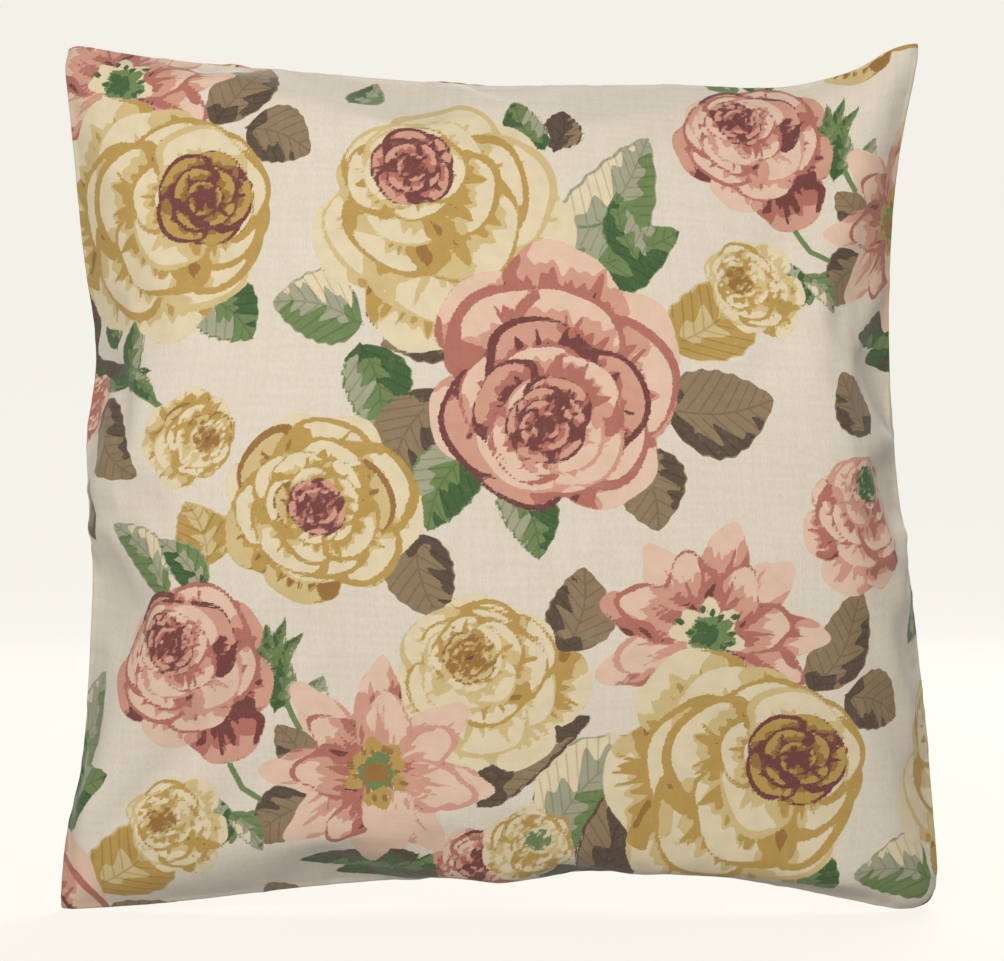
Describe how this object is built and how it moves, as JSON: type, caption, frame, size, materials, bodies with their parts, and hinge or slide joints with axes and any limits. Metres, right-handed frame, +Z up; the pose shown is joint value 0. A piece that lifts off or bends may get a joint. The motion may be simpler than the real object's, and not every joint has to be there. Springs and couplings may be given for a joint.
{
  "type": "throw pillow",
  "caption": "Square knife-edge throw pillow standing upright: floral linen cover with a back zip whose slider and pull tab move, over a sewn insert with loose filling.",
  "frame": {"origin": "middle of the flat that the pillow stands on, in the plane of the side seams", "axes": "+Z up, +X to the right seen from the printed front, +Y out of the zipped back"},
  "size_m": [0.496, 0.1504, 0.492],
  "materials": {
    "printed_linen": "plain-woven natural linen with a printed rose pattern",
    "cambric": "plain white down-proof cambric",
    "filling": "loose white fibre",
    "zip_tape": "herringbone-woven polyester tape",
    "zip_coil": "satin nylon monofilament",
    "zip_metal": "satin nickel plate",
    "thread": "spun polyester thread",
    "label_ribbon": "blank white satin ribbon"
  },
  "bodies": {
    "cushion": {"cover_front": "printed_linen", "cover_back_upper": "printed_linen", "cover_back_lower": "printed_linen", "insert_case_front": "cambric", "insert_case_back": "cambric", "insert_filling": "filling", "zip_tape_upper": "zip_tape", "zip_tape_lower": "zip_tape", "zip_coil_upper": "zip_coil", "zip_coil_lower": "zip_coil", "zip_top_stop_upper": "zip_metal", "zip_top_stop_lower": "zip_metal", "zip_bottom_stop": "zip_metal", "zip_bar_tack_closed_end": "thread", "zip_bar_tack_open_end": "thread", "zip_topstitch_upper": "thread", "zip_topstitch_lower": "thread", "care_label": "label_ribbon"},
    "slider": {"zip_slider": "zip_metal"},
    "pull_tab": {"zip_pull_tab": "zip_metal"}
  },
  "joints": [
    {"name": "zip_run", "type": "hinge", "parent": "cushion", "child": "slider", "pos_m": [0, -0.31624, 0.205], "axis": [0, 0, 1], "range_deg": [0, 49.82]},
    {"name": "pull_swing", "type": "hinge", "parent": "slider", "child": "pull_tab", "pos_m": [0.1657, 0.04055, 0.205], "axis": [0, 0, -1], "range_deg": [0, 170]}
  ]
}
